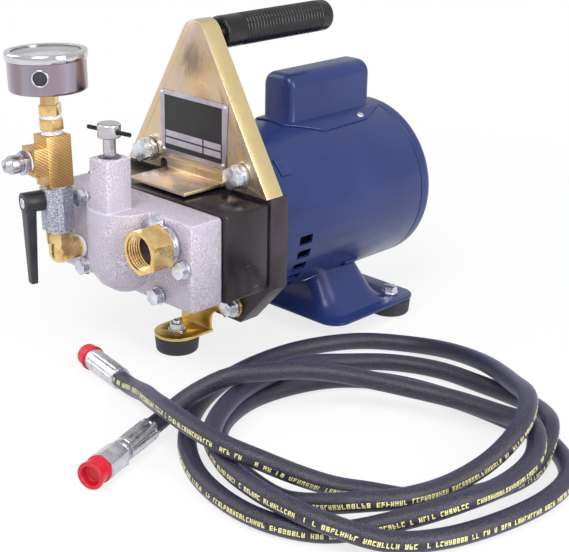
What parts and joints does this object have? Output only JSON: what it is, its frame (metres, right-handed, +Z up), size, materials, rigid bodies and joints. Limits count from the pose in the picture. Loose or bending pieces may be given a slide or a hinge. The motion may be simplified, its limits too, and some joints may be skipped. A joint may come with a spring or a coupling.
{
  "type": "hydrostatic test pump",
  "caption": "Portable electric hydrostatic test pump: motor on rubber feet, plunger pump head with relief screw, gauge and valve stack, carrying handle and coiled high-pressure hose.",
  "frame": {"origin": "floor level under the middle of the pump without its hose", "axes": "+Y towards the rear of the motor, +X to the right seen from the pump head, +Z up"},
  "size_m": [0.4469, 0.4322, 0.2646],
  "materials": {
    "cast_aluminium": "fine cast, faintly sparkling",
    "zinc_plate": "bright zinc plated",
    "machined_steel": "machined",
    "black_steel": "black oxide",
    "spring_steel": "oiled wire",
    "brass": "machined bar, slightly dull",
    "valve_steel": "speckled plated casting",
    "gauge_steel": "brushed round the case",
    "gauge_chrome": "rolled and polished",
    "dial_print": "white enamel with a plain scale",
    "gauge_glass": "clear",
    "pointer_paint": "black",
    "black_rubber": "matt",
    "lever_plastic": "black, satin",
    "black_paint": "black gloss",
    "yellow_zinc": "yellow chromate over zinc",
    "grip_vinyl": "glossy ribbed vinyl",
    "name_plate": "blank black field in a bright border",
    "flange_plate": "machined",
    "motor_enamel": "dark blue gloss enamel",
    "laminations": "stacked steel sheets and windings",
    "screen_mesh": "woven wire",
    "hose_rubber": "black, faint violet sheen",
    "ferrule_plate": "bright plated, fluted",
    "cap_red": "red polyethylene"
  },
  "bodies": {
    "pump": {"pump_head": "cast_aluminium", "head_bolt_1": "zinc_plate", "head_bolt_2": "zinc_plate", "head_bolt_3": "zinc_plate", "head_bolt_4": "zinc_plate", "head_bolt_5": "zinc_plate", "head_bolt_6": "zinc_plate", "bracket_bolt_left": "zinc_plate", "bracket_bolt_right": "zinc_plate", "foot_bracket_bolt_left": "zinc_plate", "foot_bracket_bolt_right": "zinc_plate", "front_foot_nut": "zinc_plate", "rear_foot_bolt_left": "zinc_plate", "rear_foot_bolt_right": "zinc_plate", "inlet_nipple": "machined_steel", "outlet_fitting": "machined_steel", "relief_poppet": "machined_steel", "relief_spring": "spring_steel", "outlet_elbow": "brass", "outlet_tee": "brass", "gauge_bushing": "brass", "gauge_stem": "brass", "valve_body": "valve_steel", "gauge_case": "gauge_steel", "gauge_bezel": "gauge_chrome", "gauge_dial": "dial_print", "gauge_lens": "gauge_glass", "gauge_plug": "black_rubber", "front_foot": "black_rubber", "rear_foot_left": "black_rubber", "rear_foot_right": "black_rubber", "crankcase": "black_paint", "carry_bracket": "yellow_zinc", "foot_bracket": "yellow_zinc", "handle_grip": "grip_vinyl", "nameplate": "name_plate", "adapter_flange": "flange_plate", "motor_shell": "motor_enamel", "motor_rear_bell": "motor_enamel", "capacitor_cover": "motor_enamel", "motor_base": "motor_enamel", "stator": "laminations", "inlet_screen": "screen_mesh", "hose": "hose_rubber", "hose_ferrule_a": "ferrule_plate", "hose_ferrule_b": "ferrule_plate"},
    "valve_handle": {"valve_lever": "lever_plastic", "valve_ball": "machined_steel"},
    "spring_follower": {"spring_follower": "machined_steel"},
    "relief_screw": {"relief_screw": "machined_steel"},
    "tommy_bar": {"tommy_bar": "black_steel"},
    "inlet_nut": {"inlet_swivel_nut": "brass"},
    "gauge_pointer": {"gauge_pointer": "pointer_paint"},
    "motor_shaft": {"rotor_shaft": "machined_steel", "swash_plate": "machined_steel"},
    "plunger_left": {"plunger_left": "machined_steel"},
    "plunger_right": {"plunger_right": "machined_steel"},
    "hose_nut": {"hose_nut_b": "ferrule_plate"},
    "plain_end_cap": {"hose_cap_a": "cap_red"},
    "swivel_end_cap": {"hose_cap_b": "cap_red"}
  },
  "joints": [
    {"name": "valve_turn", "type": "hinge", "parent": "pump", "child": "valve_handle", "pos_m": [-0.05147, -0.13577, 0.13226], "axis": [0.2417, 0.9703, 0.0105], "range_deg": [0, 90]},
    {"name": "follower_slide", "type": "slide", "parent": "pump", "child": "spring_follower", "axis": [0, 0, 1], "range_m": [-0.004, 0], "deforming": ["relief_spring"]},
    {"name": "relief_screw_turn", "type": "hinge", "parent": "spring_follower", "child": "relief_screw", "pos_m": [0.00812, -0.13047, 0.1382], "axis": [0, 0, 1], "range_deg": [-720, 0]},
    {"name": "tommy_bar_slide", "type": "slide", "parent": "relief_screw", "child": "tommy_bar", "axis": [0.9854, 0.1702, 0], "range_m": [-0.01, 0.01]},
    {"name": "inlet_nut_spin", "type": "hinge", "parent": "pump", "child": "inlet_nut", "pos_m": [0.05512, -0.12507, 0.1175], "axis": [0, 1, 0], "continuous": true},
    {"name": "gauge_sweep", "type": "hinge", "parent": "pump", "child": "gauge_pointer", "pos_m": [-0.05611, -0.13577, 0.23856], "axis": [-0.0436, 0, 0.999], "range_deg": [-270, 0]},
    {"name": "motor_spin", "type": "hinge", "parent": "pump", "child": "motor_shaft", "pos_m": [0.00162, 0, 0.101], "axis": [0, 1, 0], "continuous": true},
    {"name": "plunger_left_stroke", "type": "slide", "parent": "pump", "child": "plunger_left", "axis": [0, 1, 0], "range_m": [-0.003, 0.003]},
    {"name": "plunger_right_stroke", "type": "slide", "parent": "pump", "child": "plunger_right", "axis": [0, 1, 0], "range_m": [-0.003, 0.003]},
    {"name": "hose_nut_spin", "type": "hinge", "parent": "pump", "child": "hose_nut", "pos_m": [0.12572, -0.23996, 0.0101], "axis": [-0.309, 0.9511, 0], "continuous": true},
    {"name": "plain_end_cap_pull", "type": "slide", "parent": "pump", "child": "plain_end_cap", "axis": [-0.9833, 0.1822, 0], "range_m": [0, 0.012]},
    {"name": "swivel_end_cap_pull", "type": "slide", "parent": "hose_nut", "child": "swivel_end_cap", "axis": [0.309, -0.9511, 0], "range_m": [0, 0.012]}
  ],
  "couplings": [
    {"joint": "relief_screw_turn", "follows": "follower_slide", "rad_per_m": 3141.6}
  ]
}
